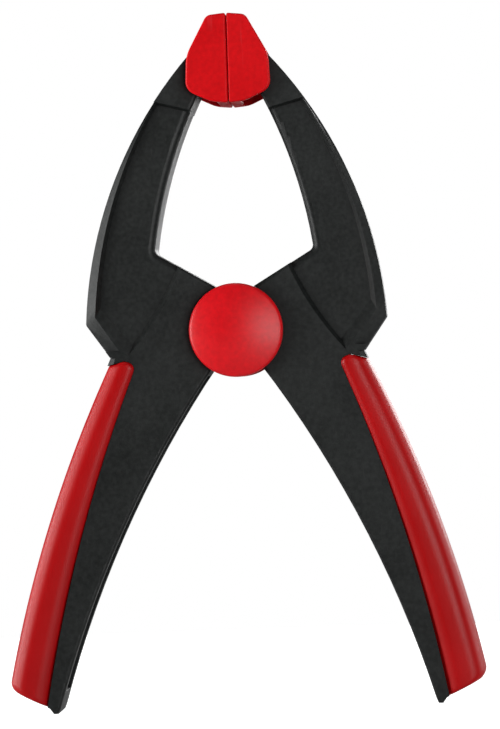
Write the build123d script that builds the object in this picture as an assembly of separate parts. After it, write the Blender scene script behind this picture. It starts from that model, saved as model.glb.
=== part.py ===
"""Spring clamp: two black levers on one pivot, sprung shut, with swivelling pads and soft grips.

Millimetres. X runs across the clamp, Y along the pivot axis (the front cap faces -Y), Z up to the pads.
The clamp stands on the ends of its handles, and the origin is below the pivot at that level.
Every outline is drawn as (x, z) about the pivot axis for the right-hand side, and mirrored for the left.
"""

from build123d import *
from math import acos, atan2, cos, degrees, hypot, pi, radians, sin, sqrt
import os

# Overall sizes
PIVOT_HEIGHT = 97.5
LEVER_HALF = 11.0  # half the thickness of both levers
PANEL_HALF = 9.7  # half the thickness inside the recessed jaw panels

# Jaw arm outline
TIP_BACK = (9.2, 72.1)
BACK_MID = (30.0, 40.2)
SHOULDER = (38.8, 2.4)
NECK = (32.75, -6.2)
TIP_INNER = (8.2, 60.6)
WINDOW_MID = (16.05, 41.0)
WINDOW_CORNER = (20.5, 20.5)
HUB_TOP = (2.0, 9.5)
HUB_BOTTOM = (2.0, -3.5)
SHOULDER_ROUND = 1.3
TIP_ROUND = 1.4
WINDOW_ROUND = 1.8
PANEL_EDGE_ROUND = 2.0
EDGE_ROUND = 0.9

# Handle outline
HANDLE_TOP = (33.7, -8.4)
HANDLE_MID = (50.95, -50.0)
HANDLE_OUTER_END = (62.0, -90.8)
HANDLE_BEND = (51.2, -96.1)
HANDLE_TOE = (50.2, -97.5)
HANDLE_FOOT = (49.0, -97.5)
HANDLE_INNER_END = (48.4, -96.0)
HANDLE_INNER_MID = (30.5, -50.0)
HANDLE_INNER_TOP = (9.5, -14.0)
OUTER_END_ROUND = 2.7

# Recessed jaw panel: its floor, and the wider outline where its walls reach the face
FLOOR_TIP = (18.5, 58.6)
FLOOR_MID = (29.4, 35.0)
FLOOR_SHOULDER = (34.9, 6.8)
FLOOR_BOTTOM = (26.9, -3.1)
FLOOR_HUB = (21.4, 4.5)
FACE_TIP = (19.0, 59.4)
FACE_MID = (30.3, 35.3)
FACE_SHOULDER = (36.3, 4.3)
FACE_BOTTOM = (28.0, -5.8)
FACE_HUB = (20.5, 3.9)
FLOOR_START = (6.0, 55.4)
FLOOR_HUB_END = (12.4, 22.2)
FACE_LIFT = 0.6  # how far the face outline stands outside those two points
POCKET_OPEN = (5.0, 31.0)  # beyond the window edge

# Bevel that falls outward from the panel's rim to the back of the jaw
BEVEL_DEPTH = 1.6
BACK_BELOW_KNUCKLE = (31.1, 37.4)
BEVEL_NECK = (30.3, -4.6)
NECK_FACE = (31.4, -6.2)  # where the neck's own bevel starts on the face
NECK_FACE_END = (32.3, -8.7)
NECK_END = (33.9, -8.7)

# Soft grip
BORDER_TOP = (26.0, -8.0)
BORDER_MID = (40.9, -50.0)
BORDER_END = (51.9, -96.3)
BORDER_BELOW = (53.1, -105.0)
GRIP_CREST = (29.2, -7.1)
GRIP_CORNER_ROUND = 2.0
GRIP_HALF = 11.8
GRIP_WALL = 2.8
GRIP_CORE_HALF = 9.3
GRIP_ROUND = 4.4
CORE_SPAN = (0.01, 0.97)  # share of the handle that the core reaches over
CORE_REST = [(50.0, -93.0), (38.0, -50.0), (25.5, -11.0)]
BEYOND = (80.0, -105.0)  # below and outside the handle
BEYOND_TOP = (80.0, -20.0)

# Channel inside each handle
CHANNEL_HALF = 7.0
SPINE = 3.0
CHANNEL_SPAN = (0.01, 0.955)
CHANNEL_REST = [(40.0, -95.5), (20.0, -62.0), (0.0, -30.0), (0.0, -16.5), (15.5, -7.0)]

# Pivot: ears, pin, washers, rings and caps
EAR_RADIUS = 11.3
EAR_CLEAR = 11.7
OUTER_EAR = (8.4, LEVER_HALF)
INNER_EAR = (5.7, 8.2)
EAR_SPLIT = 8.3
PIN_RADIUS = 3.0
PIN_CLEARANCE = 0.05
PIN_HALF = 13.4
WASHER_RADIUS = 6.4
WASHER_THICK = 0.8
RING_RADIUS = 4.9
RING_THICK = 0.8
RING_START = 12.0
RING_SPACE = 0.05
RING_BORE = 2.52
RING_MOUTH = 3.2
PLIER_HOLE = (3.4, 1.6)
PLIER_HOLE_RADIUS = 0.75
GROOVE_DEPTH = 0.5
PIN_CHAMFER = 0.4
CAP_RADIUS = 12.1
CAP_GAP = 0.15
CAP_SEAT = 11.0
CAP_EDGE = 13.4
CAP_APEX = 15.6
CAP_HOLLOW = 7.6
CAP_HOLLOW_END = 13.7
CAP_ROUND = 1.1
SPIGOT = (8.2, 9.6)
SPIGOT_DEPTH = 1.4
SPIGOT_SPACE = 0.05
CAP_GROOVE_DEPTH = 1.5

# Torsion spring and the bush it sits on
WIRE_RADIUS = 1.2
COIL_RADIUS = 7.2
COIL_PITCH = 2.46
WHOLE_TURNS = 3
LEG_END = (37.2, -34.3)
LEG_SLOT_HALF = 2.3
LEG_SLOT_LENGTH = 24.0
SPRING_SPACE = 5.5
BUSH_RADIUS = 5.2

# Swivel pads
SEAM = 0.1  # from the clamp's middle plane to each pad's face
PAD_HALF = 13.7
CHEEK_GAP = 0.2
PAD_PLATE = 3.0
PAD_PIN = (6.6, 68.8)
PAD_PIN_RADIUS = 1.5
PAD_PIN_HALF = 12.6
PAD_PIN_HOLE = 12.9
NOSE_RADIUS = 3.2
NOSE_ANGLES = (190, 130, 72)  # start, middle and end of the rounded end, round the pad's pin
PAD_CORNERS = [(SEAM, 58.5), (SEAM, 81.6), (5.0, 81.1), (10.55, 70.9), (10.95, 62.0), (4.4, 58.9)]
PAD_CORNER_ROUNDS = {2: 2.2, 3: 9.5, 4: 3.4, 5: 8.0}
PAD_ROUND = 0.55
PAD_SLOT = [(PAD_PLATE, 74.7), (15.0, 74.7), (15.0, 50.0), (PAD_PLATE, 50.0)]
PAD_SLOT_ROUND = 1.5

OVERCUT = 1.0  # how far a cutter stands outside the solid it cuts
FAR = 60.0  # beyond every edge of the part, for cutters
LEVEL_GAP = 0.01  # how near an edge must lie to a level or a line to count as on it
CURVE_GAP = 1.5  # how near an edge's middle must lie to the middle of its curve


def prism(face, low, high):
    """Solid over an (x, z) face, from low to high along the pivot axis (high is the front)."""
    return extrude(Plane.XZ.offset(low) * face, high - low)


def disc(radius, low, high):
    """Round slab on the pivot axis."""
    return prism(Circle(radius), low, high)


def tube(inner, outer, low, high):
    """Round slab on the pivot axis with a round hole."""
    return prism(Circle(outer) - Circle(inner), low, high)


def on_both_sides(solid):
    """The solid and its copy on the rear."""
    return solid + mirror(solid, about=Plane.XZ)


def corner_round(face, corner, radius):
    """The face with one of its corners rounded."""
    vertex = face.vertices().sort_by_distance((corner[0], corner[1], 0))[0]
    return fillet(vertex, radius)


def follows(edge, half, curves):
    """True for an edge at y = half or -half that runs along one of the (x, z) curves."""
    middle = edge @ 0.5
    if abs(abs(middle.Y) - half) > LEVEL_GAP:
        return False
    gaps = [hypot(middle.X - (curve @ 0.5).X, middle.Z - (curve @ 0.5).Y) for curve in curves]
    return min(gaps) < CURVE_GAP


def round_edges(solid, half, curves, radius):
    """Rounds the edges of a prism, front and rear, that run along the given curves."""
    picked = [edge for edge in solid.edges() if follows(edge, half, curves)]
    return fillet(picked, radius)


def inset_arc(start, middle, end, depth, first, last):
    """Arc parallel to the one through three points, on its right-hand side, between two fractions."""
    arc = ThreePointArc(start, middle, end)
    points = []
    for fraction in (first, (first + last) / 2, last):
        point = arc @ fraction
        along = arc % fraction
        points.append((point.X + depth * along.Y, point.Y - depth * along.X))
    return ThreePointArc(*points)


def window_curves():
    """Curves of the jaw arm on the window side, from the hub to the tip."""
    rise = Line(HUB_TOP, WINDOW_CORNER)
    arm = ThreePointArc(WINDOW_CORNER, WINDOW_MID, TIP_INNER)
    return rise, arm


def nose_point(angle):
    """Point on the rounded end of the jaw arm, round the pad's pin."""
    return (PAD_PIN[0] + NOSE_RADIUS * cos(radians(angle)), PAD_PIN[1] + NOSE_RADIUS * sin(radians(angle)))


def jaw_face():
    """Outline of the jaw arm and the hub web, from the knuckle to the neck."""
    rise, arm = window_curves()
    nose = [nose_point(angle) for angle in NOSE_ANGLES]
    outline = [
        ThreePointArc(TIP_BACK, BACK_MID, SHOULDER),
        Line(SHOULDER, NECK),
        Line(NECK, HUB_BOTTOM),
        Line(HUB_BOTTOM, HUB_TOP),
        rise,
        arm,
        Line(TIP_INNER, nose[0]),
        ThreePointArc(*nose),
        Line(nose[2], TIP_BACK),
    ]
    face = make_face(outline)
    face = corner_round(face, SHOULDER, SHOULDER_ROUND)
    face = corner_round(face, TIP_BACK, TIP_ROUND)
    return corner_round(face, WINDOW_CORNER, WINDOW_ROUND)


def handle_face():
    """Outline of the whole handle, with its soft grip."""
    outline = [
        Line(HUB_BOTTOM, NECK),
        Line(NECK, HANDLE_TOP),
        ThreePointArc(HANDLE_TOP, HANDLE_MID, HANDLE_OUTER_END),
        Line(HANDLE_OUTER_END, HANDLE_BEND),
        Line(HANDLE_BEND, HANDLE_TOE),
        Line(HANDLE_TOE, HANDLE_FOOT),
        Line(HANDLE_FOOT, HANDLE_INNER_END),
        ThreePointArc(HANDLE_INNER_END, HANDLE_INNER_MID, HANDLE_INNER_TOP),
        Line(HANDLE_INNER_TOP, HUB_BOTTOM),
    ]
    return corner_round(make_face(outline), HANDLE_OUTER_END, OUTER_END_ROUND)


def grip_zone():
    """Everything outside the border between the black handle and the soft grip."""
    border = ThreePointArc(BORDER_TOP, BORDER_MID, BORDER_END)
    rest = Polyline(BORDER_END, BORDER_BELOW, BEYOND, BEYOND_TOP, GRIP_CREST, BORDER_TOP)
    return corner_round(make_face([border, rest]), BORDER_TOP, GRIP_CORNER_ROUND)


def core_face():
    """Part of the handle that the grip wraps round, reaching into the black part."""
    outer = inset_arc(HANDLE_TOP, HANDLE_MID, HANDLE_OUTER_END, GRIP_WALL, *CORE_SPAN)
    rest = Polyline(outer @ 1, *CORE_REST, outer @ 0)
    return make_face([outer, rest])


def channel_face():
    """Hollow of the handle, open on the inner side."""
    spine = inset_arc(HANDLE_TOP, HANDLE_MID, HANDLE_OUTER_END, GRIP_WALL + SPINE, *CHANNEL_SPAN)
    rest = Polyline(spine @ 1, *CHANNEL_REST, spine @ 0)
    return make_face([spine, rest])


def pocket_outline(tip, middle, shoulder, bottom, hub, lift):
    """Closed outline of the jaw panel at one depth, open across the window edge."""
    start = (FLOOR_START[0], FLOOR_START[1] + lift)
    hub_end = (FLOOR_HUB_END[0] - lift, FLOOR_HUB_END[1] - lift)
    outline = [
        Line(start, tip),
        ThreePointArc(tip, middle, shoulder),
        Line(shoulder, bottom),
        ThreePointArc(bottom, hub, hub_end),
        Line(hub_end, POCKET_OPEN),
        Line(POCKET_OPEN, start),
    ]
    return make_face(outline)


def panel_pocket():
    """Recess over the jaw panel on the front, with sloping walls."""
    floor = pocket_outline(FLOOR_TIP, FLOOR_MID, FLOOR_SHOULDER, FLOOR_BOTTOM, FLOOR_HUB, 0.0)
    face = pocket_outline(FACE_TIP, FACE_MID, FACE_SHOULDER, FACE_BOTTOM, FACE_HUB, FACE_LIFT)
    walls = loft([Plane.XZ.offset(PANEL_HALF) * floor, Plane.XZ.offset(LEVER_HALF) * face], ruled=True)
    return walls + prism(floor, 0, PANEL_HALF)


def back_bevel():
    """Wedge outside the bevelled back edge of the jaw, on the front."""
    low = [
        ThreePointArc(FACE_TIP, BACK_BELOW_KNUCKLE, SHOULDER),
        Line(SHOULDER, NECK),
        Line(NECK, (FAR, NECK[1])),
        Line((FAR, NECK[1]), (FAR, FACE_TIP[1])),
        Line((FAR, FACE_TIP[1]), FACE_TIP),
    ]
    high = [
        ThreePointArc(FACE_TIP, FACE_MID, FACE_SHOULDER),
        Line(FACE_SHOULDER, BEVEL_NECK),
        Line(BEVEL_NECK, (FAR, BEVEL_NECK[1])),
        Line((FAR, BEVEL_NECK[1]), (FAR, FACE_TIP[1])),
        Line((FAR, FACE_TIP[1]), FACE_TIP),
    ]
    low_plane = Plane.XZ.offset(LEVER_HALF - BEVEL_DEPTH)
    return loft([low_plane * make_face(low), Plane.XZ.offset(LEVER_HALF) * make_face(high)], ruled=True)


def neck_bevel():
    """Wedge outside the neck's front edge, from the jaw's bevel down to the grip."""
    low = Polyline(NECK, NECK_END, (FAR, NECK_END[1]), (FAR, NECK[1]), NECK)
    high = Polyline(NECK_FACE, NECK_FACE_END, (FAR, NECK_FACE_END[1]), (FAR, NECK_FACE[1]), NECK_FACE)
    low_plane = Plane.XZ.offset(LEVER_HALF - BEVEL_DEPTH)
    return loft([low_plane * make_face(low), Plane.XZ.offset(LEVER_HALF) * make_face(high)], ruled=True)


def lever_blank():
    """Right-hand lever before its hub is shaped."""
    rise, arm = window_curves()
    inner_edge = ThreePointArc(HANDLE_INNER_END, HANDLE_INNER_MID, HANDLE_INNER_TOP)
    thin = prism(jaw_face(), -PANEL_HALF, PANEL_HALF)
    thin = round_edges(thin, PANEL_HALF, [arm, rise], PANEL_EDGE_ROUND)
    body = prism(jaw_face() + (handle_face() - grip_zone()), -LEVER_HALF, LEVER_HALF)
    body = round_edges(body, LEVER_HALF, [rise, inner_edge], EDGE_ROUND)
    body -= on_both_sides(panel_pocket())
    body += thin
    body -= on_both_sides(back_bevel())
    body -= on_both_sides(neck_bevel())
    body += prism(core_face(), -GRIP_CORE_HALF, GRIP_CORE_HALF)
    body -= prism(channel_face(), -CHANNEL_HALF, CHANNEL_HALF)
    body -= prism(Pos(*PAD_PIN) * Circle(PAD_PIN_RADIUS), -LEVER_HALF, LEVER_HALF)
    return body


def leg_frame():
    """Angle where the right leg leaves the coil, and the direction that it runs in."""
    reach = hypot(*LEG_END)
    leaves = atan2(LEG_END[1], LEG_END[0]) + acos(COIL_RADIUS / reach)
    return leaves, leaves - pi / 2


def leg_slot():
    """Way for the spring's leg from the coil into the channel."""
    leaves, heading = leg_frame()
    middle = COIL_RADIUS * cos(leaves), COIL_RADIUS * sin(leaves)
    band = Pos(LEG_SLOT_LENGTH / 2, 0) * Rectangle(LEG_SLOT_LENGTH, 2 * LEG_SLOT_HALF)
    return prism(Pos(*middle) * Rot(0, 0, degrees(heading)) * band, -SPRING_SPACE, SPRING_SPACE)


def right_lever():
    """Lever with the two inner ears."""
    lever = lever_blank()
    lever -= on_both_sides(disc(EAR_CLEAR, EAR_SPLIT, LEVER_HALF + OVERCUT))
    lever -= disc(EAR_CLEAR, -SPRING_SPACE, SPRING_SPACE)
    lever -= leg_slot()
    lever += on_both_sides(disc(EAR_RADIUS, *INNER_EAR))
    return lever - disc(PIN_RADIUS + PIN_CLEARANCE, -FAR, FAR)


def left_lever():
    """Lever with the two outer ears, and the grooves that hold the caps."""
    lever = mirror(lever_blank(), about=Plane.YZ)
    lever -= disc(EAR_CLEAR, -EAR_SPLIT, EAR_SPLIT)
    lever -= mirror(leg_slot(), about=Plane.YZ)
    lever += on_both_sides(disc(EAR_RADIUS, *OUTER_EAR))
    walls = (SPIGOT[0] - SPIGOT_SPACE, SPIGOT[1] + SPIGOT_SPACE)
    groove = tube(*walls, LEVER_HALF - CAP_GROOVE_DEPTH, LEVER_HALF)
    lever -= on_both_sides(groove)
    return lever - disc(PIN_RADIUS, -FAR, FAR)


def grip():
    """Soft cover on the outside of the right handle."""
    outer = ThreePointArc(HANDLE_TOP, HANDLE_MID, HANDLE_OUTER_END)
    cover = prism(handle_face() & grip_zone(), -GRIP_HALF, GRIP_HALF)
    cover = round_edges(cover, GRIP_HALF, [outer], GRIP_ROUND)
    cover -= prism(core_face(), -GRIP_CORE_HALF, GRIP_CORE_HALF)
    return cover


def pad():
    """Right-hand swivel pad: a plate behind the seam, a top, and two cheeks over the jaw."""
    face = make_face(Polyline(*PAD_CORNERS, PAD_CORNERS[0]))
    for corner, radius in PAD_CORNER_ROUNDS.items():
        face = corner_round(face, PAD_CORNERS[corner], radius)
    body = prism(face, -PAD_HALF, PAD_HALF)
    seam_edges = [edge for edge in body.edges() if abs((edge @ 0.5).X - SEAM) < LEVEL_GAP]
    end_edges = [edge for edge in body.edges() if abs(abs((edge @ 0.5).Y) - PAD_HALF) < LEVEL_GAP]
    body = fillet(ShapeList(set(seam_edges + end_edges)), PAD_ROUND)
    slot = make_face(Polyline(*PAD_SLOT, PAD_SLOT[0]))
    slot = corner_round(slot, PAD_SLOT[0], PAD_SLOT_ROUND)
    body -= prism(slot, -LEVER_HALF - CHEEK_GAP, LEVER_HALF + CHEEK_GAP)
    hole = Pos(*PAD_PIN) * Circle(PAD_PIN_RADIUS + PIN_CLEARANCE)
    return body - prism(hole, -PAD_PIN_HOLE, PAD_PIN_HOLE)


def pad_pin():
    """Hinge pin of the right-hand pad."""
    return prism(Pos(*PAD_PIN) * Circle(PAD_PIN_RADIUS), -PAD_PIN_HALF, PAD_PIN_HALF)


def pivot_pin():
    """Steel pin through all four ears, with a groove near each end."""
    pin = disc(PIN_RADIUS, -PIN_HALF, PIN_HALF)
    pin = chamfer(pin.edges().group_by(Axis.Y)[0] + pin.edges().group_by(Axis.Y)[-1], PIN_CHAMFER)
    groove = tube(PIN_RADIUS - GROOVE_DEPTH, PIN_RADIUS + OVERCUT, RING_START, RING_START + RING_THICK)
    return pin - on_both_sides(groove)


def washer():
    """Washer on the front of the hub."""
    return tube(PIN_RADIUS + PIN_CLEARANCE, WASHER_RADIUS, LEVER_HALF, LEVER_HALF + WASHER_THICK)


def retaining_ring():
    """Open ring in the front groove of the pin."""
    face = Circle(RING_RADIUS) - Circle(RING_BORE)
    mouth = Pos(0, -RING_RADIUS) * Rectangle(RING_MOUTH, 2 * RING_RADIUS)
    holes = [Pos(side * PLIER_HOLE[0], PLIER_HOLE[1]) * Circle(PLIER_HOLE_RADIUS) for side in (-1, 1)]
    return prism(face - mouth - holes, RING_START + RING_SPACE, RING_START + RING_THICK - RING_SPACE)


def cap():
    """Domed cover of the front of the pivot, with a spigot that snaps into the hub."""
    rise = CAP_APEX - CAP_EDGE
    bow = (CAP_RADIUS**2 + rise**2) / (2 * rise)
    halfway = (CAP_RADIUS / 2, CAP_APEX - bow + sqrt(bow**2 - CAP_RADIUS**2 / 4))
    under = Polyline(
        (CAP_RADIUS, CAP_EDGE),
        (CAP_RADIUS, LEVER_HALF + CAP_GAP),
        (CAP_SEAT, LEVER_HALF + CAP_GAP),
        (CAP_SEAT, LEVER_HALF),
        (SPIGOT[1], LEVER_HALF),
        (SPIGOT[1], LEVER_HALF - SPIGOT_DEPTH),
        (SPIGOT[0], LEVER_HALF - SPIGOT_DEPTH),
        (SPIGOT[0], LEVER_HALF),
        (CAP_HOLLOW, LEVER_HALF),
        (CAP_HOLLOW, CAP_HOLLOW_END),
        (0, CAP_HOLLOW_END),
        (0, CAP_APEX),
    )
    dome = ThreePointArc((0, CAP_APEX), halfway, (CAP_RADIUS, CAP_EDGE))
    face = corner_round(make_face([dome, under]), (CAP_RADIUS, CAP_EDGE), CAP_ROUND)
    return mirror(revolve(face, Axis.Y), about=Plane.XZ)


def torsion_spring():
    """Coil round the pin with a straight leg down each handle."""
    leaves, heading = leg_frame()
    sweep_angle = 2 * pi * WHOLE_TURNS + (pi - 2 * leaves)
    height = COIL_PITCH * sweep_angle / (2 * pi)
    coil = Helix(COIL_PITCH, height, COIL_RADIUS)
    coil = Pos(0, 0, -height / 2) * Rot(0, 0, degrees(leaves)) * coil
    wire_start = coil @ 0
    wire_end = coil @ 1
    reach = hypot(LEG_END[0] - wire_start.X, LEG_END[1] - wire_start.Y)
    leg = Vector(reach * cos(heading), reach * sin(heading), 0)
    first = Line(wire_start + leg, wire_start)
    last = Line(wire_end, wire_end + Vector(-leg.X, leg.Y, 0))
    path = Wire([first.edge(), coil.edge(), last.edge()])
    section = Plane(origin=path @ 0, z_dir=path % 0) * Circle(WIRE_RADIUS)
    wound = sweep(section, path=path)
    return Plane.XZ.location * wound


def spring_bush():
    """Sleeve on the pin inside the coil."""
    return tube(PIN_RADIUS + PIN_CLEARANCE, BUSH_RADIUS, -SPRING_SPACE, SPRING_SPACE)


def left(solid):
    """The left-hand copy of a right-hand solid."""
    return mirror(solid, about=Plane.YZ)


def rear(solid):
    """The rear copy of a front solid."""
    return mirror(solid, about=Plane.XZ)


def build():
    """Every piece of the clamp, by name, about the pivot axis."""
    return {
        "left_lever": left_lever(),
        "right_lever": right_lever(),
        "left_grip": left(grip()),
        "right_grip": grip(),
        "left_pad": left(pad()),
        "right_pad": pad(),
        "left_pad_pin": left(pad_pin()),
        "right_pad_pin": pad_pin(),
        "pivot_pin": pivot_pin(),
        "front_washer": washer(),
        "rear_washer": rear(washer()),
        "front_retaining_ring": retaining_ring(),
        "rear_retaining_ring": rear(retaining_ring()),
        "front_cap": cap(),
        "rear_cap": rear(cap()),
        "torsion_spring": torsion_spring(),
        "spring_bush": spring_bush(),
    }


os.makedirs("parts", exist_ok=True)
for name, solid in build().items():
    export_step(Pos(0, 0, PIVOT_HEIGHT) * solid, f"parts/{name}.step")
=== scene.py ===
"""Spring clamp: visible mouldings, finishes, floor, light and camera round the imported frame.

Metres. X runs across the clamp, Y along the pivot (the front cap faces -Y), Z up to the pads.
Sizes in the classes are millimetres about the pivot axis, drawn for the right-hand side.
"""
import logging
import math
from collections.abc import Callable, Sequence
from dataclasses import dataclass, field
from enum import Enum

import bmesh
import bpy
from mathutils import Matrix, Vector


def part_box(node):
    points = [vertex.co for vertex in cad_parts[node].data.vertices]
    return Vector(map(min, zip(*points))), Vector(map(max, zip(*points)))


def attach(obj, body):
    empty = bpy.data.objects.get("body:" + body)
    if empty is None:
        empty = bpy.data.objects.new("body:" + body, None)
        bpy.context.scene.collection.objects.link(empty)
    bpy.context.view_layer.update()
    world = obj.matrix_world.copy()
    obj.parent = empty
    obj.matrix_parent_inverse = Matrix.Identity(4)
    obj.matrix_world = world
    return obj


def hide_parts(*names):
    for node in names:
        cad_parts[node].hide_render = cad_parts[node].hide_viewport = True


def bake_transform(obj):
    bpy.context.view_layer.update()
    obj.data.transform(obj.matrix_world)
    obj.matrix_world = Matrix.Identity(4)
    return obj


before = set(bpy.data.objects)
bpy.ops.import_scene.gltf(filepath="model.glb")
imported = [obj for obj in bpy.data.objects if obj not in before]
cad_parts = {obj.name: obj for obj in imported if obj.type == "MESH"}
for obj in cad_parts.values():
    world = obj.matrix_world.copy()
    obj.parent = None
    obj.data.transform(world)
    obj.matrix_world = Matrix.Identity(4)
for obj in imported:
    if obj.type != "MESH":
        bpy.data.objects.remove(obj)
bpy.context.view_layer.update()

log = logging.getLogger("spring_clamp")

Point = tuple[float, float]
Colour = tuple[float, float, float]
Stretch = tuple[float, float, float]

MM = 0.001
CREASE = 35.0  # degrees; sharper edges stay crisp
CAP_WELD = 1e-7  # metres; closer points of a turned cap become one
WIRE_WELD = 1e-6  # metres; the same for the spring's wire
CLOUD_SPAN = (0.3, 0.7)  # where nearly all of a noise pattern lies
MOTTLE_SPAN = (0.32, 0.68)  # the same, cut a little for more contrast
WHITE = (1.0, 1.0, 1.0, 1.0)


class Side(Enum):
    """Which lever a piece belongs to."""

    LEFT = "left"
    RIGHT = "right"

    @property
    def body(self) -> str:
        """Moving body of this side's lever."""
        return f"{self.value}_half"


class End(Enum):
    """Which end of the pivot a piece sits on."""

    FRONT = "front"
    REAR = "rear"


def pivot_height() -> float:
    """Height of the pivot axis, in metres."""
    low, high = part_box("pivot_pin")
    return (low.z + high.z) / 2


# ---------------------------------------------------------------- finishes


class Graph:
    """Node tree of one material, with short calls for the nodes that the finishes share."""

    def __init__(self, name: str) -> None:
        """Starts an empty finish.

        Args:
            name: Name of the material.
        """
        self.material = bpy.data.materials.new(name)
        self.material.use_nodes = True
        self.tree = self.material.node_tree
        self.shader = self.tree.nodes["Principled BSDF"]
        self.place = self.tree.nodes.new("ShaderNodeTexCoord").outputs["Object"]

    def node(self, kind: str, values: dict[str, object], **settings: object) -> bpy.types.Node:
        """Adds a node.

        Args:
            kind: Type of the node.
            values: Input name to a socket to link or a value to set.
            settings: Properties of the node itself.

        Returns:
            The new node.
        """
        made = self.tree.nodes.new(kind)
        for key, setting in settings.items():
            setattr(made, key, setting)
        for key, value in values.items():
            if isinstance(value, bpy.types.NodeSocket):
                self.tree.links.new(value, made.inputs[key])
            else:
                made.inputs[key].default_value = value
        return made

    def stretched(self, stretch: Sequence[float]) -> bpy.types.NodeSocket:
        """Object coordinates scaled by a factor for each axis."""
        values = {"Vector": self.place, "Scale": tuple(stretch)}
        return self.node("ShaderNodeMapping", values).outputs["Vector"]

    def noise(
        self, scale: float, detail: float = 2.0, stretch: Sequence[float] | None = None
    ) -> bpy.types.NodeSocket:
        """Cloudy pattern.

        Args:
            scale: Clouds to the metre.
            detail: Number of finer layers.
            stretch: Scale of each axis, where the pattern has a grain.

        Returns:
            The pattern, about 0.3 to 0.7.
        """
        place = self.stretched(stretch) if stretch else self.place
        values = {"Vector": place, "Scale": scale, "Detail": detail}
        return self.node("ShaderNodeTexNoise", values).outputs["Fac"]

    def cells(self, scale: float, smoothness: float = 0.6) -> bpy.types.NodeSocket:
        """Rounded cells, as the distance to each one's middle."""
        values = {"Vector": self.place, "Scale": scale, "Smoothness": smoothness}
        return self.node("ShaderNodeTexVoronoi", values, feature="SMOOTH_F1").outputs["Distance"]

    def remap(
        self, value: bpy.types.NodeSocket, source: Point, target: Point
    ) -> bpy.types.NodeSocket:
        """Maps a value from one range to another, and clamps it there.

        Args:
            value: What to map.
            source: Range that it comes in.
            target: Range that it leaves in.

        Returns:
            The mapped value.
        """
        values = {"Value": value, "From Min": source[0], "From Max": source[1]}
        values |= {"To Min": target[0], "To Max": target[1]}
        return self.node("ShaderNodeMapRange", values).outputs["Result"]

    def combine(self, kind: str, first: object, second: object) -> bpy.types.NodeSocket:
        """Works out a value from two others.

        Args:
            kind: The math node's own word for it, such as ADD.
            first: Value or socket.
            second: Value or socket.

        Returns:
            The result.
        """
        made = self.node("ShaderNodeMath", {}, operation=kind)
        for socket, value in zip(made.inputs, (first, second)):
            if isinstance(value, bpy.types.NodeSocket):
                self.tree.links.new(value, socket)
            else:
                socket.default_value = value
        return made.outputs["Value"]

    def shade(
        self, share: bpy.types.NodeSocket, first: object, second: object
    ) -> bpy.types.NodeSocket:
        """Mixes two colours.

        Args:
            share: How much of the second.
            first: Colour or socket.
            second: Colour or socket.

        Returns:
            The mixed colour.
        """
        made = self.tree.nodes.new("ShaderNodeMix")
        made.data_type = "RGBA"
        self.tree.links.new(share, made.inputs["Factor"])
        for slot, value in ((6, first), (7, second)):
            if isinstance(value, bpy.types.NodeSocket):
                self.tree.links.new(value, made.inputs[slot])
            else:
                made.inputs[slot].default_value = (*value, 1.0)
        return made.outputs[2]

    def attribute(self, name: str) -> bpy.types.NodeSocket:
        """Value kept in the mesh's points."""
        return self.node("ShaderNodeAttribute", {}, attribute_name=name).outputs["Fac"]

    def nook(self, reach: float, samples: int = 12) -> bpy.types.NodeSocket:
        """How open a point is within a reach in metres: 1 on a plain face, less in a corner."""
        made = self.node("ShaderNodeAmbientOcclusion", {"Distance": reach}, samples=samples)
        return made.outputs["AO"]

    def relief(
        self, height: bpy.types.NodeSocket, depth: float, over: bpy.types.NodeSocket | None = None
    ) -> bpy.types.NodeSocket:
        """Bump.

        Args:
            height: Pattern, 0 to 1.
            depth: Height of its 1, in metres.
            over: Relief that this one lies on.

        Returns:
            The normal.
        """
        values: dict[str, object] = {"Height": height, "Distance": depth, "Strength": 1.0}
        if over is not None:
            values["Normal"] = over
        return self.node("ShaderNodeBump", values).outputs["Normal"]

    def finish(
        self, colour: bpy.types.NodeSocket, roughness: bpy.types.NodeSocket,
        normal: bpy.types.NodeSocket, **plain: float,
    ) -> bpy.types.Material:
        """Links the shader and closes the finish.

        Args:
            colour: Base colour.
            roughness: Roughness.
            normal: Normal.
            plain: Values that are the same all over, by input name with _ for a space.

        Returns:
            The material.
        """
        for key, socket in (("Base Color", colour), ("Roughness", roughness), ("Normal", normal)):
            self.tree.links.new(socket, self.shader.inputs[key])
        for key, value in plain.items():
            self.shader.inputs[key.replace("_", " ")].default_value = value
        return self.material


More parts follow.
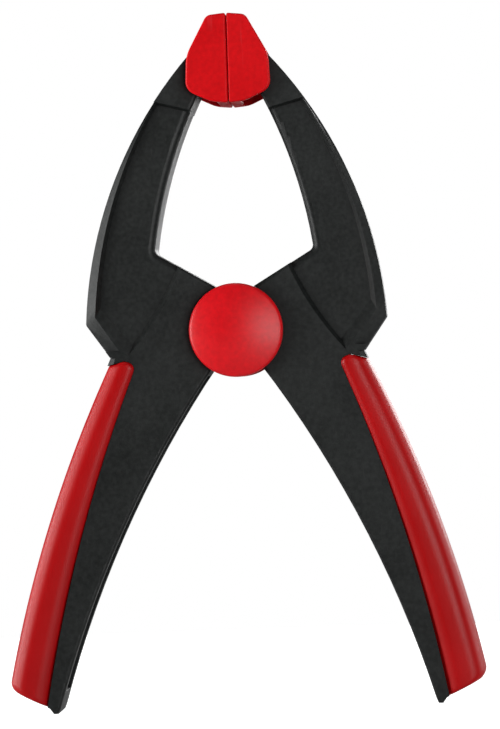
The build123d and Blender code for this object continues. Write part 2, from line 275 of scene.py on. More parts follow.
@dataclass(frozen=True)
class MouldedNylon:
    """Black glass-filled nylon from a spark-eroded tool, rubbed paler along its edges, with painted
    shade darkening its corners and recesses.

    In every finish a scale counts clouds to the metre, and depths and reaches are metres.
    """

    dark: Colour = (0.0062, 0.0074, 0.0070)
    light: Colour = (0.0200, 0.0222, 0.0214)
    fibre: Colour = (0.024, 0.025, 0.0245)
    rubbed: Colour = (0.060, 0.062, 0.061)
    # painted shade: near-black colour laid into corners, creases and recesses by the occlusion mask
    corner: Colour = (0.0012, 0.0012, 0.0012)
    painted_shade_reach: float = 0.004
    painted_shade_open: Point = (0.55, 1.0)
    painted_shade_share: Point = (0.85, 0.0)
    roughness: Point = (0.40, 0.54)
    grain_roughness: Point = (-0.05, 0.05)
    specular: float = 0.24
    clouds_scale: float = 70.0
    clouds_share: Point = (0.0, 0.35)
    mottle_scale: float = 950.0
    mottle_share: Point = (0.0, 0.65)
    grain_scale: float = 3600.0
    grain_depth: float = 0.000018
    speck_scale: float = 1500.0
    speck_stretch: Stretch = (1.0, 1.0, 0.25)
    speck_span: Point = (0.68, 0.80)
    speck_share: Point = (0.0, 0.55)
    wear_scale: float = 260.0
    wear_span: Point = (0.38, 0.62)
    wear_share: Point = (0.0, 0.8)
    flow_scale: float = 220.0
    flow_depth: float = 0.00002

    def material(self) -> bpy.types.Material:
        """Makes the nodes."""
        graph = Graph("moulded_nylon")
        clouds = graph.noise(self.clouds_scale, 4.0)
        grain = graph.noise(self.grain_scale, 3.0)
        mottle = graph.remap(graph.noise(self.mottle_scale, 3.0), MOTTLE_SPAN, self.mottle_share)
        share = graph.combine("ADD", graph.remap(clouds, CLOUD_SPAN, self.clouds_share), mottle)
        colour = graph.shade(share, self.dark, self.light)
        specks = graph.noise(self.speck_scale, 1.0, self.speck_stretch)
        specks = graph.remap(specks, self.speck_span, self.speck_share)
        colour = graph.shade(specks, colour, self.fibre)
        ridges = graph.attribute("edge")
        rubs = graph.remap(graph.noise(self.wear_scale, 3.0), self.wear_span, self.wear_share)
        colour = graph.shade(graph.combine("MULTIPLY", ridges, rubs), colour, self.rubbed)
        # painted shade: the colour is darkened towards near black where ambient occlusion finds
        # corners, creases and recesses
        painted_shade = graph.remap(graph.nook(self.painted_shade_reach), self.painted_shade_open, self.painted_shade_share)
        colour = graph.shade(painted_shade, colour, self.corner)
        rough = graph.remap(clouds, CLOUD_SPAN, self.roughness)
        fine = graph.remap(grain, CLOUD_SPAN, self.grain_roughness)
        rough = graph.combine("ADD", rough, fine)
        flow = graph.relief(graph.noise(self.flow_scale), self.flow_depth)
        normal = graph.relief(grain, self.grain_depth, flow)
        return graph.finish(colour, rough, normal, Specular_IOR_Level=self.specular)


@dataclass(frozen=True)
class GripRubber:
    """Soft red overmoulding with a fine leathery pebble and a little dust in it."""

    deep: Colour = (0.42, 0.0006, 0.0014)
    bright: Colour = (0.50, 0.0010, 0.0028)
    dusty: Colour = (0.45, 0.008, 0.010)
    roughness: Point = (0.33, 0.41)
    pebble_roughness: Point = (-0.03, 0.08)
    specular: float = 0.23
    clouds_scale: float = 55.0
    pebble_scale: float = 1900.0
    pebble_depth: float = 0.000012
    pit_span: Point = (0.35, 0.75)
    pit_share: Point = (0.0, 0.22)
    dust_scale: float = 420.0
    dust_span: Point = (0.60, 0.78)
    dust_share: Point = (0.0, 0.35)
    flow_scale: float = 300.0
    flow_depth: float = 0.00001

    def material(self) -> bpy.types.Material:
        """Makes the nodes."""
        graph = Graph("grip_rubber")
        clouds = graph.noise(self.clouds_scale, 4.0)
        pebble = graph.cells(self.pebble_scale)
        share = graph.remap(clouds, CLOUD_SPAN, (0.0, 1.0))
        colour = graph.shade(share, self.deep, self.bright)
        pits = graph.remap(pebble, self.pit_span, self.pit_share)
        colour = graph.shade(pits, colour, self.deep)
        dust = graph.remap(graph.noise(self.dust_scale, 5.0), self.dust_span, self.dust_share)
        colour = graph.shade(dust, colour, self.dusty)
        rough = graph.remap(clouds, CLOUD_SPAN, self.roughness)
        fine = graph.remap(pebble, (0.2, 0.7), self.pebble_roughness)
        rough = graph.combine("ADD", rough, fine)
        flow = graph.relief(graph.noise(self.flow_scale), self.flow_depth)
        domes = graph.remap(pebble, (0.0, 0.8), (1.0, 0.0))
        normal = graph.relief(domes, self.pebble_depth, flow)
        return graph.finish(colour, rough, normal, Specular_IOR_Level=self.specular)


@dataclass(frozen=True)
class SatinPlastic:
    """Red moulded plastic with faint flow marks and hairline scratches."""

    name: str
    deep: Colour
    bright: Colour
    roughness: Point
    specular: float
    scuff: Colour = (0.62, 0.06, 0.07)
    scuff_roughness: Point = (0.0, 0.08)
    clouds_scale: float = 85.0
    clouds_share: Point = (0.0, 0.3)
    mottle_scale: float = 800.0
    mottle_share: Point = (0.0, 0.5)
    flow_scale: float = 240.0
    flow_stretch: Stretch = (1.0, 1.0, 0.22)
    flow_share: Point = (0.0, 0.2)
    flow_depth: float = 0.00002
    grain_scale: float = 4200.0
    grain_depth: float = 0.000012
    hairline_scale: float = 900.0
    hairline_stretch: Stretch = (1.0, 1.0, 0.06)
    hairline_span: Point = (0.70, 0.78)
    hairline_share: Point = (0.0, 0.22)

    def material(self) -> bpy.types.Material:
        """Makes the nodes."""
        graph = Graph(self.name)
        clouds = graph.noise(self.clouds_scale, 4.0)
        flow = graph.noise(self.flow_scale, 3.0, self.flow_stretch)
        grain = graph.noise(self.grain_scale)
        share = graph.remap(clouds, CLOUD_SPAN, self.clouds_share)
        share = graph.combine("ADD", share, graph.remap(flow, CLOUD_SPAN, self.flow_share))
        mottle = graph.remap(graph.noise(self.mottle_scale, 3.0), MOTTLE_SPAN, self.mottle_share)
        share = graph.combine("ADD", share, mottle)
        colour = graph.shade(share, self.deep, self.bright)
        hairlines = graph.noise(self.hairline_scale, 2.0, self.hairline_stretch)
        scratched = graph.remap(hairlines, self.hairline_span, self.hairline_share)
        colour = graph.shade(scratched, colour, self.scuff)
        rough = graph.remap(clouds, CLOUD_SPAN, self.roughness)
        scuffs = graph.remap(scratched, self.hairline_share, self.scuff_roughness)
        rough = graph.combine("ADD", rough, scuffs)
        waves = graph.relief(flow, self.flow_depth)
        fine = graph.relief(grain, self.grain_depth, waves)
        return graph.finish(colour, rough, fine, Specular_IOR_Level=self.specular)


@dataclass(frozen=True)
class BrushedSteel:
    """Plated steel with fine marks along one axis and a few dull spots."""

    name: str
    pale: Colour
    dull: Colour
    roughness: Point
    along: Stretch
    groove_scale: float = 2600.0
    groove_depth: float = 0.000006
    spot_scale: float = 330.0
    spot_roughness: Point = (0.0, 0.14)

    def material(self) -> bpy.types.Material:
        """Makes the nodes."""
        graph = Graph(self.name)
        marks = graph.noise(self.groove_scale, 3.0, self.along)
        spots = graph.noise(self.spot_scale, 4.0)
        colour = graph.shade(graph.remap(spots, (0.42, 0.66), (0.0, 1.0)), self.pale, self.dull)
        rough = graph.remap(marks, CLOUD_SPAN, self.roughness)
        rough = graph.combine("ADD", rough, graph.remap(spots, (0.45, 0.7), self.spot_roughness))
        return graph.finish(colour, rough, graph.relief(marks, self.groove_depth), Metallic=1.0)


@dataclass(frozen=True)
class NaturalAcetal:
    """Off-white bearing plastic, a little greased."""

    pale: Colour = (0.62, 0.60, 0.54)
    greasy: Colour = (0.34, 0.31, 0.25)
    roughness: Point = (0.42, 0.26)
    clouds_scale: float = 260.0
    grain_scale: float = 3000.0
    grain_depth: float = 0.00001

    def material(self) -> bpy.types.Material:
        """Makes the nodes."""
        graph = Graph("natural_acetal")
        clouds = graph.noise(self.clouds_scale, 4.0)
        colour = graph.shade(graph.remap(clouds, (0.45, 0.7), (0.0, 0.8)), self.pale, self.greasy)
        rough = graph.remap(clouds, CLOUD_SPAN, self.roughness)
        grain = graph.relief(graph.noise(self.grain_scale), self.grain_depth)
        return graph.finish(colour, rough, grain)


@dataclass(frozen=True)
class FloorPaint:
    """Pale matt floor that glows white to the camera, and hardly at all as a light."""

    pale: Colour = (0.50, 0.50, 0.50)
    cloud_shade: float = 0.98
    glow: Point = (0.05, 0.95)
    roughness: Point = (0.9, 0.96)
    clouds_scale: float = 9.0
    clouds_depth: float = 0.0002

    def material(self) -> bpy.types.Material:
        """Makes the nodes."""
        graph = Graph("floor_paint")
        clouds = graph.noise(self.clouds_scale, 3.0)
        shaded = tuple(self.cloud_shade * part for part in self.pale)
        colour = graph.shade(graph.remap(clouds, CLOUD_SPAN, (0.0, 1.0)), self.pale, shaded)
        graph.shader.inputs["Emission Color"].default_value = WHITE
        seen = graph.node("ShaderNodeLightPath", {}).outputs["Is Camera Ray"]
        glow = graph.remap(seen, (0.0, 1.0), self.glow)
        graph.tree.links.new(glow, graph.shader.inputs["Emission Strength"])
        rough = graph.remap(clouds, CLOUD_SPAN, self.roughness)
        return graph.finish(colour, rough, graph.relief(clouds, self.clouds_depth))


# ---------------------------------------------------------------- drawing


class Pen:
    """Draws one closed outline on the XY plane of a bmesh, with straight runs and arcs."""

    def __init__(self, bm: bmesh.types.BMesh, start: Point) -> None:
        """Puts the pen down.

        Args:
            bm: Mesh to draw in.
            start: First point, in millimetres.
        """
        self.bm = bm
        self.first = bm.verts.new((start[0] * MM, start[1] * MM, 0.0))
        self.tip = self.first
        self.verts = [self.first]

    def line(self, to: Point) -> "Pen":
        """Draws a straight run to a point, in millimetres."""
        made = bmesh.ops.extrude_vert_indiv(self.bm, verts=[self.tip])
        self.tip = made["verts"][0]
        self.tip.co = (to[0] * MM, to[1] * MM, 0.0)
        self.verts.append(self.tip)
        return self

    def arc(self, centre: Point, degrees: float, steps: int) -> "Pen":
        """Draws an arc.

        Args:
            centre: Its centre, in millimetres.
            degrees: Angle that it turns through, counter-clockwise if positive.
            steps: Number of edges.

        Returns:
            The pen.
        """
        middle = (centre[0] * MM, centre[1] * MM, 0.0)
        for _ in range(steps):
            turn = math.radians(degrees) / steps
            made = bmesh.ops.spin(
                self.bm, geom=[self.tip], cent=middle, axis=(0, 0, 1), angle=turn, steps=1,
                use_duplicate=False,
            )["geom_last"]
            self.tip = next(item for item in made if isinstance(item, bmesh.types.BMVert))
            self.verts.append(self.tip)
        return self

    def edges(self) -> list[bmesh.types.BMEdge]:
        """Edges of the outline."""
        ring = set(self.verts)
        return [
            edge for vert in self.verts for edge in vert.link_edges
            if set(edge.verts) <= ring and edge.verts[0] == vert
        ]

    def close(self) -> list[bmesh.types.BMEdge]:
        """Joins the end to the start, and returns the edges."""
        self.bm.edges.new((self.tip, self.first))
        return self.edges()


@dataclass(frozen=True)
class Arc:
    """Circle arc through three points of the XZ plane."""

    start: Point
    middle: Point
    end: Point

    def centre(self) -> Vector:
        """Centre of the circle."""
        a, b, c = Vector(self.start), Vector(self.middle), Vector(self.end)
        first, second = b - a, c - a
        cross = 2 * (first.x * second.y - first.y * second.x)
        one, two = first.length_squared, second.length_squared
        offset = Vector((second.y * one - first.y * two, first.x * two - second.x * one)) / cross
        return a + offset

    def at(self, fraction: float) -> Vector:
        """Point at a fraction of the way along."""
        centre = self.centre()
        first, last = Vector(self.start) - centre, Vector(self.end) - centre
        swing = first.angle_signed(last) * fraction
        return centre + Matrix.Rotation(-swing, 2) @ first


def placed(bm: bmesh.types.BMesh, side: Side) -> None:
    """Turns a right-hand mesh to its side, lifts it to the pivot and points its faces outwards.

    Args:
        bm: Mesh about the pivot axis.
        side: Side that it is for.
    """
    if side is Side.LEFT:
        bmesh.ops.scale(bm, vec=(-1, 1, 1), verts=bm.verts)
    bmesh.ops.translate(bm, vec=(0, 0, pivot_height()), verts=bm.verts)
    bmesh.ops.recalc_face_normals(bm, faces=bm.faces)


def piece(
    name: str, bm: bmesh.types.BMesh, material: bpy.types.Material, crease: float = CREASE
) -> bpy.types.Object:
    """Makes an object of a finished bmesh.

    Args:
        name: Name of the object.
        bm: Its mesh, which is freed.
        material: Its finish.
        crease: Angle over which an edge stays sharp, in degrees.

    Returns:
        The object, at the origin.
    """
    mesh = bpy.data.meshes.new(name)
    bm.to_mesh(mesh)
    bm.free()
    made = bpy.data.objects.new(name, mesh)
    bpy.context.scene.collection.objects.link(made)
    mesh.materials.append(material)
    soften(mesh, crease)
    return made


def soften(mesh: bpy.types.Mesh, crease: float) -> None:
    """Shades a mesh smooth, but for edges sharper than an angle in degrees."""
    mesh.shade_smooth()
    mesh.set_sharp_from_angle(angle=math.radians(crease))


def carve(solid: bpy.types.Object, cutter: bpy.types.Object) -> None:
    """Takes one object away from another, and removes the cutter.

    Args:
        solid: Object that is kept.
        cutter: Object that is taken away.
    """
    cut = solid.modifiers.new("carve", "BOOLEAN")
    cut.operation = "DIFFERENCE"
    cut.solver = "EXACT"
    cut.object = cutter
    shown = solid.evaluated_get(bpy.context.evaluated_depsgraph_get())
    mesh = bpy.data.meshes.new_from_object(shown)
    solid.modifiers.clear()
    solid.data = mesh
    bpy.data.objects.remove(cutter)


# ---------------------------------------------------------------- levers


@dataclass
class Lever:
    """Black jaw arm and handle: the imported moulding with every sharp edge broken.

    Edges that turn more than sharp are bevelled, and faces that turn less than flat are merged,
    both in degrees.
    """

    side: Side
    break_width: float = 0.28
    break_steps: int = 2
    sharp: float = 22.0
    merge: float = 0.002
    flat: float = 0.6
    crease: float = 40.0
    edges_broken: int = field(default=0, init=False)

    def mesh(self) -> bmesh.types.BMesh:
        """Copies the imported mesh, merges it and bevels its sharp edges.

        Returns:
            The mesh, with the ridge of every broken outer edge marked in the point layer "edge".
        """
        bm = bmesh.new()
        bm.from_mesh(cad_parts[f"{self.side.value}_lever"].data)
        bmesh.ops.remove_doubles(bm, verts=bm.verts, dist=self.merge * MM)
        bmesh.ops.dissolve_degenerate(bm, dist=self.merge * MM / 2, edges=bm.edges)
        flat, limit = math.radians(self.flat), math.radians(self.sharp)
        bmesh.ops.dissolve_limit(bm, angle_limit=flat, verts=bm.verts, edges=bm.edges)
        inner = [edge for edge in bm.edges if edge.is_manifold]
        sharp = [edge for edge in inner if edge.calc_face_angle(0.0) > limit]
        self.edges_broken = len(sharp)
        made = bmesh.ops.bevel(
            bm, geom=sharp, offset=self.break_width * MM, offset_type="OFFSET",
            segments=self.break_steps, profile=0.5, affect="EDGES", clamp_overlap=True, material=-1,
        )
        self.mark(bm, set(made["faces"]))
        return bm

    def mark(self, bm: bmesh.types.BMesh, broken: set[bmesh.types.BMFace]) -> None:
        """Marks the ridge of each broken outer edge.

        Args:
            bm: Mesh after its bevel.
            broken: Faces that the bevel made.
        """
        layer = bm.verts.layers.float.new("edge")
        bm.normal_update()
        for vert in bm.verts:
            if not vert.link_faces or not all(face in broken for face in vert.link_faces):
                continue
            around = [edge.other_vert(vert).co for edge in vert.link_edges]
            mean = sum(around, Vector()) / len(around)
            if vert.normal.dot(vert.co - mean) > 0:
                vert[layer] = 1.0

    def build(self, finish: MouldedNylon) -> bpy.types.Object:
        """Makes and dresses the lever.

        Args:
            finish: Its finish.

        Returns:
            The lever's object.
        """
        name = f"{self.side.value}_lever_moulding"
        made = piece(name, self.mesh(), finish.material(), self.crease)
        weigh = made.modifiers.new("weigh", "WEIGHTED_NORMAL")
        weigh.keep_sharp = True
        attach(made, self.side.body)
        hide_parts(f"{self.side.value}_lever")
        return made


# ---------------------------------------------------------------- grips


@dataclass
class Grip:
    """Soft red cover wrapped round the outside of a handle, standing a little proud of it.

    A section runs from the border with the handle to the outside. Its lip is the rounded edge at
    the border, its corners are the two outer ones, and its crown is the bow between them. The
    core is what the handle fills, and it is taken out of the cover.
    """

    side: Side
    border: Arc = Arc((26.0, -8.0), (40.9, -50.0), (51.9, -96.3))
    outside: Arc = Arc((33.7, -8.4), (50.95, -50.0), (62.0, -90.8))
    border_reach: float = 0.994
    length: float = 89.0
    half: float = 11.8
    lip_radii: Point = (2.2, 5.0)
    lip_angle: float = 55.0
    least_flat: float = 0.2
    corner: float = 4.4
    crown: float = 6.0
    crest: Point = (3.2, 1.0)
    crest_fade: float = 4.0
    top_corner: float = 2.0
    top_rim: float = 0.9
    end_corner: float = 2.2
    end_rim: float = 0.9
    fine_steps: tuple[float, ...] = (0.0, 0.08, 0.25, 0.5, 0.85, 1.3, 1.8, 2.4)
    coarse_steps: int = 26
    lip_steps: int = 5
    corner_steps: int = 8
    crown_steps: int = 6
    wall: float = 2.8
    core_overlap: float = 1.0
    core_half: float = 9.3
    core_ends: Point = (2.6, 86.1)

    def stops(self) -> list[float]:
        """Distances down the handle where a section is drawn, closer together at both ends."""
        first, last = self.fine_steps[-1], self.length - self.fine_steps[-1]
        steps = self.coarse_steps
        middle = [first + (last - first) * step / steps for step in range(1, steps)]
        end = [self.length - step for step in reversed(self.fine_steps)]
        return [*self.fine_steps, *middle, *end]

    def fall(self, distance: float, radius: float) -> float:
        """How far a rounded rim lies inside its corner.

        Args:
            distance: Distance from the end.
            radius: Radius of the rim.

        Returns:
            The fall, which is 0 beyond the radius.
        """
        short = radius - distance
        return radius - math.sqrt(radius**2 - short**2) if short > 0 else 0.0

    def skin(self, bm: bmesh.types.BMesh, width: float, at: float) -> Pen:
        """Draws the cover's section as one closed outline.

        Args:
            bm: Mesh to draw in.
            width: Distance from the border with the handle to the outside.
            at: Distance down the handle.

        Returns:
            The pen, at the outline's end.
        """
        left = self.length - at
        inset = self.fall(at, self.top_corner)
        width -= self.fall(left, self.end_corner)
        half = self.half - self.fall(at, self.top_rim) - self.fall(left, self.end_rim)
        lip, crown = math.radians(self.lip_angle), math.radians(self.crown)
        corner_y = half - self.corner
        bow = (corner_y + self.corner * math.sin(crown)) / math.sin(crown)
        corner_x = width - bow * (1 - math.cos(crown)) - self.corner * math.cos(crown)
        drawn = self.lip_radii[0] + (self.lip_radii[1] - self.lip_radii[0]) * at / self.length
        lip_radius = min(drawn, (corner_x - self.least_flat - inset) / math.sin(lip))
        run = inset + lip_radius * math.sin(lip)
        pen = Pen(bm, (inset, -half + lip_radius * (1 - math.cos(lip))))
        pen.arc((run, -half + lip_radius), self.lip_angle, self.lip_steps)
        pen.line((corner_x, -half))
        pen.arc((corner_x, -corner_y), 90 - self.crown, self.corner_steps)
        pen.arc((width - bow, 0.0), 2 * self.crown, self.crown_steps)
        pen.arc((corner_x, corner_y), 90 - self.crown, self.corner_steps)
        pen.line((run, half))
        pen.arc((run, half - lip_radius), self.lip_angle, self.lip_steps)
        self.lift_crest(pen, width, at)
        return pen

    def core(self, bm: bmesh.types.BMesh, width: float, at: float) -> Pen:
        """Draws the section of the handle's core, open beyond the border.

        Args:
            bm: Mesh to draw in.
            width: Distance from the border with the handle to the outside.
            at: Distance down the handle, which the core's section doesn't depend on.

        Returns:
            The pen.
        """
        outer, half = width - self.wall, self.core_half
        pen = Pen(bm, (-self.core_overlap, -half))
        return pen.line((outer, -half)).line((outer, half)).line((-self.core_overlap, half))

    def sweep(
        self, section: Callable[[bmesh.types.BMesh, float, float], Pen], stops: Sequence[float]
    ) -> bmesh.types.BMesh:
        """Runs a section down the handle.

        Args:
            section: Draws the section for a width and a distance.
            stops: Distances where it is drawn.

        Returns:
            The closed mesh.
        """
        bm = bmesh.new()
        rings: list[list[bmesh.types.BMEdge]] = []
        for at in stops:
            inner = self.border.at(at / self.length * self.border_reach)
            outer = self.outside.at(at / self.length)
            across = (outer - inner).normalized()
            pen = section(bm, (outer - inner).length, at)
            rings.append(pen.close())
            turn = Matrix(((across.x, 0, -across.y), (0, 1, 0), (across.y, 0, across.x)))
            spot = Vector((inner.x, 0, inner.y)) * MM
            place = Matrix.Translation(spot) @ turn.to_4x4()
            bmesh.ops.transform(bm, matrix=place, verts=pen.verts)
        for upper, lower in zip(rings, rings[1:]):
            bmesh.ops.bridge_loops(bm, edges=upper + lower)
        for ring in (rings[0], rings[-1]):
            bmesh.ops.contextual_create(bm, geom=ring)
        return bm

    def lift_crest(self, pen: Pen, width: float, at: float) -> None:
        """Lifts the top of the cover to its crest, less and less down to where the crest fades.

        Args:
            pen: Section still on the drawing plane.
            width: Its width.
            at: Distance down the handle.
        """
        fade = max(0.0, 1.0 - at / self.crest_fade)
        peak, height = self.crest
        for vert in pen.verts:
            across = vert.co.x / MM
            share = across / peak if across < peak else (width - across) / (width - peak)
            vert.co.z += max(0.0, share) * height * fade * MM

    def build(self, finish: GripRubber) -> bpy.types.Object:
        """Makes and dresses the cover.

        Args:
            finish: Its finish.

        Returns:
            The cover's object.
        """
        name = f"{self.side.value}_grip"
        material = finish.material()
        skin = self.sweep(self.skin, self.stops())
        placed(skin, self.side)
        made = piece(f"{name}_cover", skin, material)
        first, last = self.core_ends
        steps = self.coarse_steps
        stops = [first + (last - first) * step / steps for step in range(steps + 1)]
        core = self.sweep(self.core, stops)
        placed(core, self.side)
        carve(made, piece(f"{name}_core", core, material))
        soften(made.data, CREASE)
        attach(made, self.side.body)
        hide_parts(name)
        return made


# ---------------------------------------------------------------- caps


@dataclass
class Cap:
    """Domed cover over one end of the pivot, turned in one profile with its spigot."""

    end: End
    radius: float = 12.1
    apex: float = 15.6
    brim: float = 13.4
    edge_round: float = 1.1
    seat: Point = (11.0, 11.0)
    gap: float = 0.15
    brim_break: float = 0.15
    spigot: Point = (8.2, 9.6)
    spigot_depth: float = 1.4
    spigot_break: float = 0.2
    hollow: Point = (7.6, 13.7)
    dome_steps: int = 14
    edge_steps: int = 7
    steps: int = 96
    crease: float = 30.0

    def profile(self, bm: bmesh.types.BMesh) -> Pen:
        """Draws half of the section, from the apex round to the middle of the hollow.

        Args:
            bm: Mesh to draw in.

        Returns:
            The pen.
        """
        rise = self.apex - self.brim
        bow = (self.radius**2 + rise**2) / (2 * rise)
        low = self.apex - bow
        round_x = self.radius - self.edge_round
        round_y = low + math.sqrt((bow - self.edge_round) ** 2 - round_x**2)
        lean = math.degrees(math.atan2(round_x, round_y - low))
        seat_x, seat_y = self.seat
        pen = Pen(bm, (0.0, self.apex))
        pen.arc((0.0, low), -lean, self.dome_steps)
        pen.arc((round_x, round_y), lean - 90, self.edge_steps)
        spigot_inner, spigot_outer = self.spigot
        spigot_end = seat_y - self.spigot_depth
        stops = (
            (self.radius, seat_y + self.gap + self.brim_break),
            (self.radius - self.brim_break, seat_y + self.gap),
            (seat_x, seat_y + self.gap),
            (seat_x, seat_y),
            (spigot_outer, seat_y),
            (spigot_outer, spigot_end + self.spigot_break),
            (spigot_outer - self.spigot_break, spigot_end),
            (spigot_inner, spigot_end),
            (spigot_inner, seat_y),
            (self.hollow[0], seat_y),
            self.hollow,
            (0.0, self.hollow[1]),
        )
        for stop in stops:
            pen.line(stop)
        return pen

    def build(self, finish: SatinPlastic) -> bpy.types.Object:
        """Makes and dresses the cap.

        Args:
            finish: Its finish.

        Returns:
            The cap's object.
        """
        bm = bmesh.new()
        pen = self.profile(bm)
        bmesh.ops.spin(
            bm, geom=[*pen.verts, *pen.edges()], cent=(0, 0, 0), axis=(0, 1, 0), angle=math.tau,
            steps=self.steps, use_merge=True, use_duplicate=False,
        )
        bmesh.ops.remove_doubles(bm, verts=bm.verts, dist=CAP_WELD)
        if self.end is End.FRONT:
            bmesh.ops.scale(bm, vec=(1, -1, 1), verts=bm.verts)
        placed(bm, Side.RIGHT)
        name = f"{self.end.value}_cap"
        made = piece(f"{name}_dome", bm, finish.material(), self.crease)
        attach(made, Side.LEFT.body)
        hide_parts(name)
        return made


# ---------------------------------------------------------------- spring


@dataclass
class Spring:
    """Coil round the pin with a straight leg down each handle. Wire and coil are radii."""

    wire: float = 1.2
    coil: float = 7.2
    pitch: float = 2.46
    turns: int = 3
    leg_end: Point = (37.2, -34.3)
    steps_a_turn: int = 40
    around: int = 16
    leg_steps: int = 6
    crease: float = 50.0

    def build(self, finish: BrushedSteel) -> bpy.types.Object:
        """Makes and dresses the spring.

        Args:
            finish: Its finish.

        Returns:
            The spring's object.
        """
        reach = math.hypot(*self.leg_end)
        leaves = math.atan2(self.leg_end[1], self.leg_end[0]) + math.acos(self.coil / reach)
        sweep = math.tau * self.turns + math.pi - 2 * leaves
        rise = self.pitch * sweep / math.tau
        start = Vector((self.coil * math.cos(leaves), rise / 2, self.coil * math.sin(leaves))) * MM
        tangent = Vector((-math.sin(leaves), 0, math.cos(leaves)))
        leg = math.sqrt(reach**2 - self.coil**2) * MM
        bm = bmesh.new()
        ring = bmesh.ops.create_circle(
            bm, cap_ends=True, radius=self.wire * MM, segments=self.around
        )["verts"]
        turned = tangent.to_track_quat("Z", "Y").to_matrix().to_4x4()
        place = Matrix.Translation(start - tangent * leg) @ turned
        bmesh.ops.transform(bm, matrix=place, verts=ring)
        rim = self.run(bm, list(bm.edges), tangent * leg)
        steps = round(self.steps_a_turn * sweep / math.tau)
        made = bmesh.ops.spin(
            bm, geom=rim, cent=(0, 0, 0), axis=(0, -1, 0), dvec=(0, -rise * MM / steps, 0),
            angle=sweep, steps=steps, use_duplicate=False,
        )
        rim = [item for item in made["geom_last"] if isinstance(item, bmesh.types.BMEdge)]
        lean = math.pi / 2 - leaves
        outward = Vector((-math.cos(lean), 0, -math.sin(lean)))
        rim = self.run(bm, rim, outward * leg)
        bmesh.ops.contextual_create(bm, geom=rim)
        bmesh.ops.remove_doubles(bm, verts=bm.verts, dist=WIRE_WELD)
        placed(bm, Side.RIGHT)
        spring = piece("torsion_spring_wire", bm, finish.material(), self.crease)
        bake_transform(spring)
        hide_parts("torsion_spring")
        return spring

    def run(
        self, bm: bmesh.types.BMesh, rim: list[bmesh.types.BMEdge], leg: Vector
    ) -> list[bmesh.types.BMEdge]:
        """Extrudes a rim along a straight leg.

        Args:
            bm: Mesh of the wire.
            rim: Edges at its end.
            leg: Direction and length.

        Returns:
            The edges at its new end.
        """
        for _ in range(self.leg_steps):
            made = bmesh.ops.extrude_edge_only(bm, edges=rim)["geom"]
            verts = [item for item in made if isinstance(item, bmesh.types.BMVert)]
            bmesh.ops.translate(bm, vec=leg / self.leg_steps, verts=verts)
            edges = [item for item in made if isinstance(item, bmesh.types.BMEdge)]
            rim = [edge for edge in edges if set(edge.verts) <= set(verts)]
        return rim


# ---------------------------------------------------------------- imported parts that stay


@dataclass
class PackedPart:
    """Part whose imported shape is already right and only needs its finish."""

    node: str

    def build(self, material: bpy.types.Material) -> bpy.types.Object:
        """Dresses the part.

        Args:
            material: Its finish.

        Returns:
            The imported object.
        """
        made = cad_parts[self.node]
        for place in made.material_slots:
            place.material = material
        return made


# ---------------------------------------------------------------- studio


@dataclass(frozen=True)
class Lamp:
    """Soft rectangular lamp that points at the clamp. Its places and sizes are metres."""

    name: str
    spot: tuple[float, float, float]
    size: Point
    watts: float
    colour: Colour = (1.0, 1.0, 1.0)
    aim: tuple[float, float, float] = (0.0, 0.0, 0.09)

    def build(self) -> None:
        """Hangs the lamp."""
        data = bpy.data.lights.new(self.name, "AREA")
        data.shape = "RECTANGLE"
        data.size, data.size_y = self.size
        data.energy = self.watts
        data.color = self.colour
        lamp = bpy.data.objects.new(self.name, data)
        bpy.context.scene.collection.objects.link(lamp)
        spot = Vector(self.spot)
        turn = (Vector(self.aim) - spot).to_track_quat("-Z", "Y")
        lamp.matrix_world = Matrix.Translation(spot) @ turn.to_matrix().to_4x4()
        lamp.visible_camera = False


@dataclass
class Studio:
    """Plain pale floor, soft lamps, and a surround that is white to the camera and dim as a light.

    Lengths are metres. The floor lies a floor_drop below the feet, because the right handle swings
    8.4 mm below them when the jaws open.
    """

    surround: float = 0.03
    floor_radius: float = 0.5
    floor_steps: int = 96
    floor_drop: float = 0.009
    lamps: tuple[Lamp, ...] = (
        Lamp("key_left", (-1.15, -0.66, 0.04), (0.4, 0.8), 7.5),
        Lamp("key_right", (0.60, -1.03, 0.06), (0.65, 0.8), 9.8),
        Lamp("rim_left", (-1.0, 0.05, 0.06), (1.1, 0.8), 17.0),
        Lamp("rim_right", (0.92, 0.35, 0.06), (0.7, 0.8), 5.0),
        Lamp("top_soft", (0.0, -0.1, 1.1), (0.7, 0.5), 1.6),
        Lamp("rear_fill", (0.3, 1.15, 0.45), (0.9, 0.7), 8.0),
    )

    def build(self, finish: FloorPaint) -> None:
        """Lays the floor, lights the scene and sets the surround.

        Args:
            finish: Finish of the floor.
        """
        bm = bmesh.new()
        steps = self.floor_steps
        bmesh.ops.create_circle(bm, cap_ends=True, radius=self.floor_radius, segments=steps)
        bmesh.ops.translate(bm, vec=(0, 0, -self.floor_drop), verts=bm.verts)
        floor = piece("studio_floor", bm, finish.material())
        for lamp in self.lamps:
            lamp.build()
        self.set_surround()
        view = bpy.context.scene.view_settings
        view.view_transform = "Standard"
        view.look = "None"

    def set_surround(self) -> None:
        """Makes the surround white to the camera, and dim as a light."""
        world = bpy.data.worlds.new("studio_surround")
        bpy.context.scene.world = world
        world.use_nodes = True
        nodes, links = world.node_tree.nodes, world.node_tree.links
        seen = nodes.new("ShaderNodeLightPath").outputs["Is Camera Ray"]
        level = nodes.new("ShaderNodeMapRange")
        links.new(seen, level.inputs["Value"])
        level.inputs["To Min"].default_value = self.surround
        level.inputs["To Max"].default_value = 1.0
        background = nodes["Background"]
        background.inputs["Color"].default_value = WHITE
        links.new(level.outputs["Result"], background.inputs["Strength"])


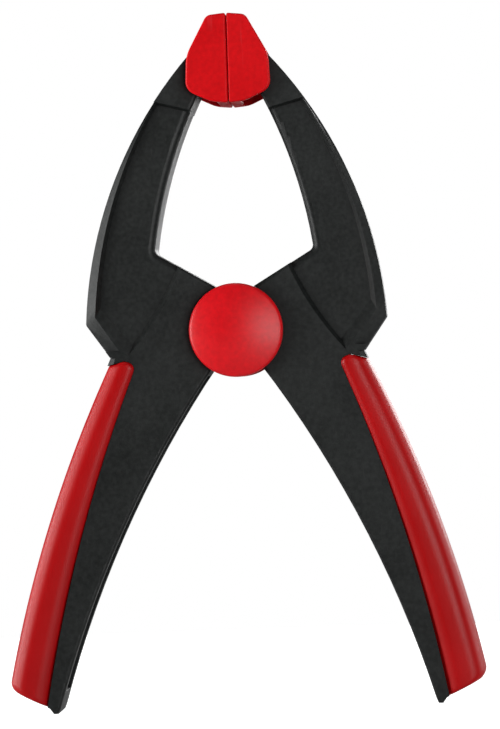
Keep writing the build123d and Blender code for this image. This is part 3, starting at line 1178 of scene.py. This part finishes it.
@dataclass(frozen=True)
class Viewpoint:
    """Camera in front of the clamp, a little to its right and rolled.

    Aim and distance are metres, azimuth and roll degrees, lens and sensor millimetres.
    """

    aim: tuple[float, float, float] = (0.0028, 0.0, 0.0885)
    distance: float = 1.2
    azimuth: float = 2.5
    roll: float = 1.85
    lens: float = 228.1
    sensor: float = 36.0

    def build(self) -> None:
        """Sets up the camera."""
        data = bpy.data.cameras.new("front_camera")
        data.lens = self.lens
        data.sensor_width = self.sensor
        camera = bpy.data.objects.new("front_camera", data)
        bpy.context.scene.collection.objects.link(camera)
        turn = math.radians(self.azimuth)
        away = Vector((math.sin(turn), -math.cos(turn), 0.0))
        level = (-away).to_track_quat("-Z", "Y").to_matrix()
        rolled = level @ Matrix.Rotation(math.radians(-self.roll), 3, "Z")
        spot = Vector(self.aim) + away * self.distance
        camera.matrix_world = Matrix.Translation(spot) @ rolled.to_4x4()
        bpy.context.scene.camera = camera


# ---------------------------------------------------------------- making


def main() -> None:
    """Builds the clamp and its studio."""
    logging.basicConfig(level=logging.INFO, format="%(name)s: %(message)s")
    Viewpoint().build()
    Studio().build(FloorPaint())

    pad_red = SatinPlastic(
        "pad_plastic", deep=(0.53, 0.0008, 0.0030), bright=(0.75, 0.0022, 0.0060),
        roughness=(0.42, 0.52), specular=0.12,
    )
    cap_red = SatinPlastic(
        "cap_plastic", deep=(0.58, 0.0016, 0.0056), bright=(0.82, 0.0034, 0.0096),
        roughness=(0.34, 0.42), specular=0.36,
    )
    pin_steel = BrushedSteel(
        "pin_steel", pale=(0.62, 0.61, 0.58), dull=(0.44, 0.43, 0.41),
        roughness=(0.22, 0.38), along=(1.0, 0.05, 1.0),
    )
    washer_steel = BrushedSteel(
        "washer_steel", pale=(0.60, 0.59, 0.56), dull=(0.40, 0.39, 0.37),
        roughness=(0.28, 0.45), along=(0.05, 1.0, 1.0),
    )
    spring_steel = BrushedSteel(
        "spring_steel", pale=(0.36, 0.35, 0.34), dull=(0.20, 0.18, 0.16),
        roughness=(0.26, 0.42), along=(1.0, 0.2, 1.0),
    )

    for side in Side:
        lever = Lever(side)
        report(lever.build(MouldedNylon()))
        log.info("%s lever: %d edges broken", side.value, lever.edges_broken)
        report(Grip(side).build(GripRubber()))
    for end in End:
        report(Cap(end).build(cap_red))
    report(Spring().build(spring_steel))

    pad_finish = pad_red.material()
    pin_finish = pin_steel.material()
    washer_finish = washer_steel.material()
    for side in Side:
        report(PackedPart(f"{side.value}_pad").build(pad_finish))
        report(PackedPart(f"{side.value}_pad_pin").build(pin_finish))
    for end in End:
        report(PackedPart(f"{end.value}_washer").build(washer_finish))
        report(PackedPart(f"{end.value}_retaining_ring").build(washer_finish))
    report(PackedPart("pivot_pin").build(pin_finish))
    report(PackedPart("spring_bush").build(NaturalAcetal().material()))


def report(made: bpy.types.Object) -> None:
    """Logs a finished piece and its number of faces."""
    log.info("%s: %d faces", made.name, len(made.data.polygons))


if __name__ == "__main__":
    main()
